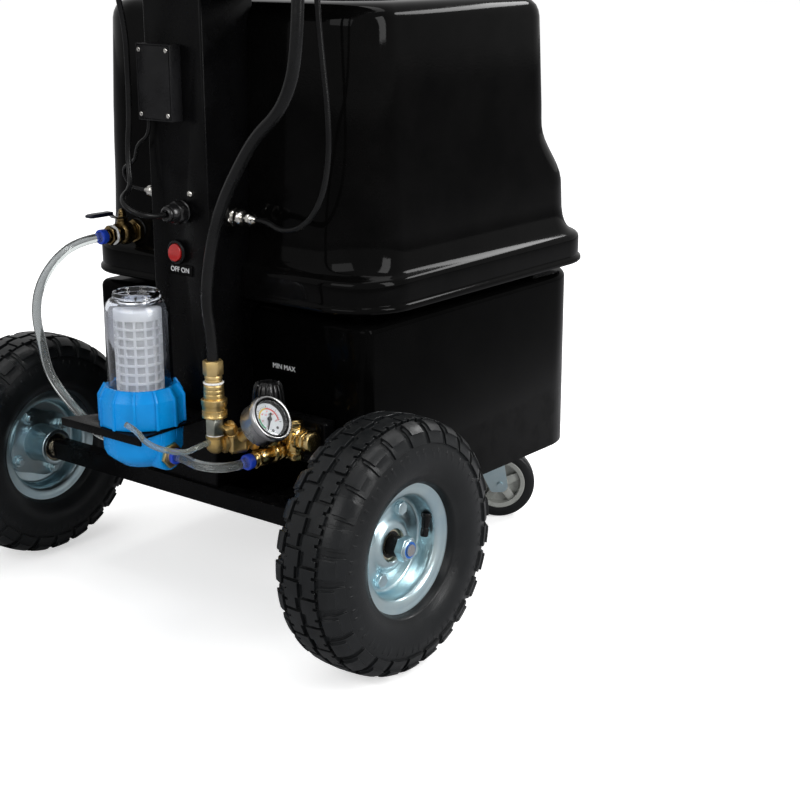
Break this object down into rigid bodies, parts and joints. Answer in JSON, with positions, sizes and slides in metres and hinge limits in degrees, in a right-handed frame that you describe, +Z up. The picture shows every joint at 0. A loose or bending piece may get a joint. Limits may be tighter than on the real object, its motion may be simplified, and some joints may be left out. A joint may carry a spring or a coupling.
{
  "type": "mobile misting fan",
  "caption": "Wheeled water tank with a filter, pump fittings and gauge at the back and a barrel fan with a mist ring above.",
  "frame": {"origin": "middle of the footprint on the ground", "axes": "+X along the main axle to the right seen from behind, +Y towards the casters and the fan's outlet, +Z up"},
  "size_m": [0.621, 0.5945, 1.278],
  "materials": {
    "black_moulding": "gloss",
    "black_paint": "satin",
    "black_plastic": "satin",
    "tyre_rubber": "matte",
    "caster_rubber": "satin",
    "zinc": "zinc plated",
    "steel": "turned",
    "nickel": "nickel plated",
    "brass": "turned",
    "clear_plastic": "clear",
    "white_plastic": "smooth",
    "filter_media": "mesh",
    "blue_plastic": "smooth",
    "bright_blue_plastic": "smooth",
    "grey_plastic": "smooth",
    "tube_plastic": "clear",
    "hose_rubber": "smooth",
    "red_plastic": "clear"
  },
  "bodies": {
    "chassis": {"axle": "steel", "axle_nuts": "zinc", "bleed_tube": "tube_plastic", "cable_glands": "black_plastic", "caster_plates": "zinc", "chassis_frame": "black_paint", "column": "black_paint", "control_box": "black_plastic", "control_cable": "hose_rubber", "coupler_body": "brass", "drum_saddle": "black_paint", "fan_cable": "hose_rubber", "fan_drum": "black_paint", "fan_motor": "black_paint", "feed_tube": "tube_plastic", "filter_bracket": "black_paint", "filter_cartridge": "filter_media", "filter_fittings": "brass", "filter_head": "bright_blue_plastic", "front_guard": "black_paint", "gauge_case": "steel", "gauge_dial": "white_plastic", "gauge_glass_pane": "clear_plastic", "hose_nut": "brass", "lower_housing": "black_moulding", "mist_ring": "nickel", "motor_bracket": "black_paint", "motor_cable": "hose_rubber", "outlet_elbow": "brass", "pressure_hose": "hose_rubber", "pump_head": "brass", "rear_guard": "black_paint", "supply_tube": "tube_plastic", "switch_bezel": "black_plastic", "tank": "black_moulding", "tube_collets": "blue_plastic", "valve_body": "brass"},
    "right_wheel": {"right_tyre": "tyre_rubber", "right_rim": "zinc", "right_rim_bolts": "zinc", "right_bearings": "steel"},
    "left_wheel": {"left_tyre": "tyre_rubber", "left_rim": "zinc", "left_rim_bolts": "zinc", "left_bearings": "steel"},
    "right_caster": {"right_caster_fork": "zinc"},
    "right_caster_roller": {"right_caster_wheel": "grey_plastic", "right_caster_tread": "caster_rubber"},
    "left_caster": {"left_caster_fork": "zinc"},
    "left_caster_roller": {"left_caster_wheel": "grey_plastic", "left_caster_tread": "caster_rubber"},
    "cap": {"tank_cap": "black_plastic"},
    "fan": {"impeller": "black_plastic"},
    "bowl": {"filter_bowl": "clear_plastic"},
    "ring": {"filter_ring": "bright_blue_plastic"},
    "lever": {"valve_lever": "steel"},
    "knob": {"regulator_knob": "black_plastic"},
    "needle": {"gauge_needle": "black_plastic"},
    "sleeve": {"coupler_sleeve": "brass"},
    "rocker": {"switch_rocker": "red_plastic"}
  },
  "joints": [
    {"name": "right_wheel_spin", "type": "hinge", "parent": "chassis", "child": "right_wheel", "pos_m": [0.268, -0.16725, 0.13], "axis": [1, 0, 0], "continuous": true},
    {"name": "left_wheel_spin", "type": "hinge", "parent": "chassis", "child": "left_wheel", "pos_m": [-0.268, -0.16725, 0.13], "axis": [1, 0, 0], "continuous": true},
    {"name": "right_caster_swivel", "type": "hinge", "parent": "chassis", "child": "right_caster", "pos_m": [0.08, 0.24075, 0.1], "axis": [0, 0, 1], "continuous": true},
    {"name": "right_caster_roll", "type": "hinge", "parent": "right_caster", "child": "right_caster_roller", "pos_m": [0.10182, 0.25829, 0.044], "axis": [-0.6266, 0.7793, 0], "continuous": true},
    {"name": "left_caster_swivel", "type": "hinge", "parent": "chassis", "child": "left_caster", "pos_m": [-0.08, 0.24075, 0.1], "axis": [0, 0, 1], "continuous": true},
    {"name": "left_caster_roll", "type": "hinge", "parent": "left_caster", "child": "left_caster_roller", "pos_m": [-0.05818, 0.25829, 0.044], "axis": [-0.6266, 0.7793, 0], "continuous": true},
    {"name": "tank_cap_lift", "type": "slide", "parent": "chassis", "child": "cap", "axis": [0, 0, 1], "range_m": [0, 0.06]},
    {"name": "fan_spin", "type": "hinge", "parent": "chassis", "child": "fan", "pos_m": [0, -0.13775, 0.98], "axis": [0, 1, 0], "continuous": true},
    {"name": "filter_bowl_lift", "type": "slide", "parent": "chassis", "child": "bowl", "axis": [0, 0, 1], "range_m": [0, 0.06]},
    {"name": "filter_ring_turn", "type": "hinge", "parent": "bowl", "child": "ring", "pos_m": [0, -0.23725, 0.24], "axis": [0, 0, 1], "range_deg": [-45, 0]},
    {"name": "valve_lever_turn", "type": "hinge", "parent": "chassis", "child": "lever", "pos_m": [-0.128, -0.13888, 0.4], "axis": [0, 0, 1], "range_deg": [-90, 0]},
    {"name": "regulator_knob_turn", "type": "hinge", "parent": "chassis", "child": "knob", "pos_m": [0.113, -0.16725, 0.25], "axis": [0, 0, 1], "range_deg": [-135, 135]},
    {"name": "gauge_needle_turn", "type": "hinge", "parent": "chassis", "child": "needle", "pos_m": [0.14673, -0.20148, 0.24276], "axis": [0.829, 0, 0.5592], "range_deg": [-270, 0], "stiffness_Nm_per_rad": 0.0005},
    {"name": "coupler_sleeve_slide", "type": "slide", "parent": "chassis", "child": "sleeve", "axis": [0, 0, 1], "range_m": [0, 0.004], "stiffness_N_per_m": 1500},
    {"name": "switch_rock", "type": "hinge", "parent": "chassis", "child": "rocker", "pos_m": [-0.005, -0.17585, 0.3886], "axis": [1, 0, 0], "range_deg": [-16, 0]}
  ]
}
